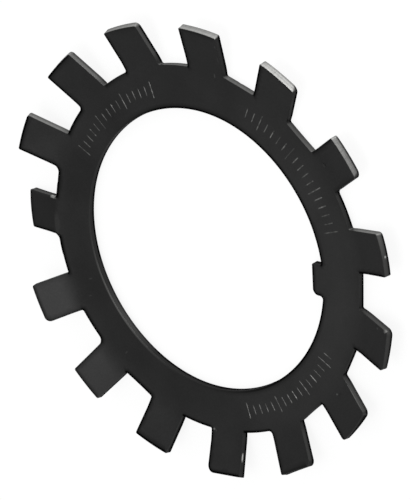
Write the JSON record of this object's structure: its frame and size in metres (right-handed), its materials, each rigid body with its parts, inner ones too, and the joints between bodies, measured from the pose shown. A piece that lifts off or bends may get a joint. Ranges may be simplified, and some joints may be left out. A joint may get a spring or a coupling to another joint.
{
  "type": "tab washer",
  "caption": "Round lock plate of black sheet steel with raised square tabs round its rim and a tang in its bore.",
  "frame": {"origin": "centre of the bore at the plate's back face", "axes": "+Z along the bore, towards the raised tabs; +X through the tang"},
  "size_m": [0.127, 0.1284, 0.008],
  "materials": {
    "blackened_steel": "black oxide, oiled, satin"
  },
  "bodies": {
    "root": {"lock_plate": "blackened_steel"}
  },
  "joints": []
}
